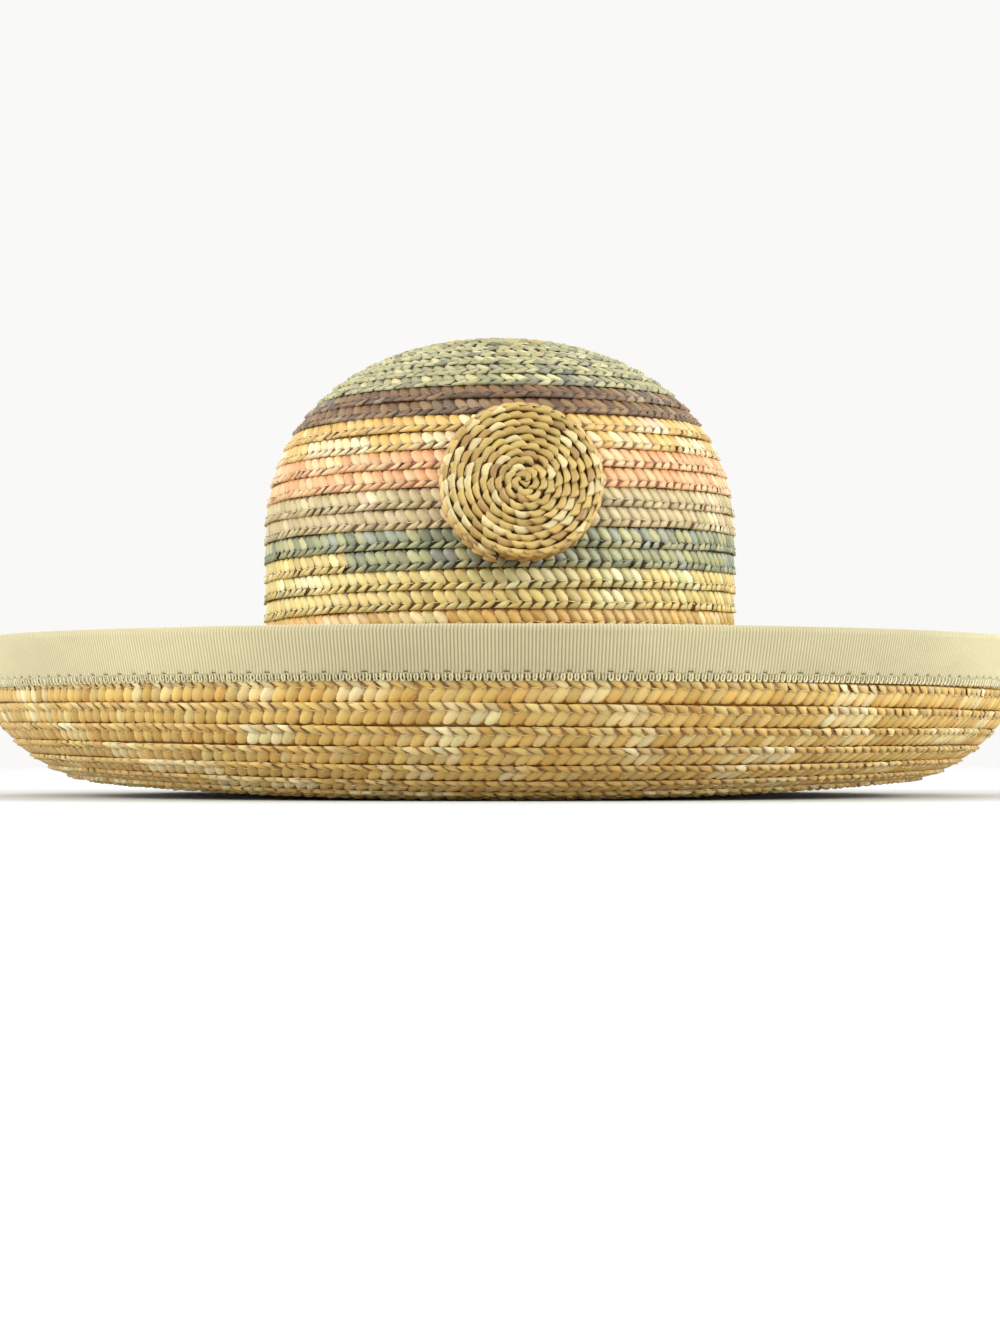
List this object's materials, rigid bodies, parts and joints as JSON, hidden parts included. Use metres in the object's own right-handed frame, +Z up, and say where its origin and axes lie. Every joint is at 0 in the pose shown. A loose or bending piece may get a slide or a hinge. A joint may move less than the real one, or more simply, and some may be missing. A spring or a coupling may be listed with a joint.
{
  "type": "wide brim straw hat",
  "caption": "Sewn straw braid hat with an oval domed crown in dyed stripes, a wide brim rolled up at its ribbon-bound edge, and a coiled straw rosette on the front.",
  "frame": {"origin": "on the surface the hat stands on, under the middle of the crown", "axes": "+Z up through the top of the crown, the rosette and the front towards -Y, +X to the right seen from the front"},
  "size_m": [0.3744, 0.3972, 0.1627],
  "materials": {
    "straw_natural": "golden tan natural straw braid, soft gloss on each straw",
    "straw_olive": "straw braid dyed pale olive over dark sage",
    "straw_mauve": "straw braid dyed mauve brown",
    "straw_gold": "straw braid dyed gold",
    "straw_coral": "straw braid dyed coral",
    "straw_taupe": "straw braid dyed pinkish taupe",
    "straw_sage": "straw braid dyed grey green",
    "straw_rosette": "glossy natural straw braid wound on edge",
    "ribbon": "ivory khaki ribbed grosgrain ribbon, matt"
  },
  "bodies": {
    "root": {"crown_tip": "straw_natural", "crown_olive": "straw_olive", "crown_mauve": "straw_mauve", "crown_gold": "straw_gold", "crown_coral": "straw_coral", "crown_taupe": "straw_taupe", "crown_sage": "straw_sage", "crown_yellow": "straw_gold", "crown_base": "straw_natural", "brim": "straw_natural", "brim_binding": "ribbon", "rosette": "straw_rosette"}
  },
  "joints": []
}
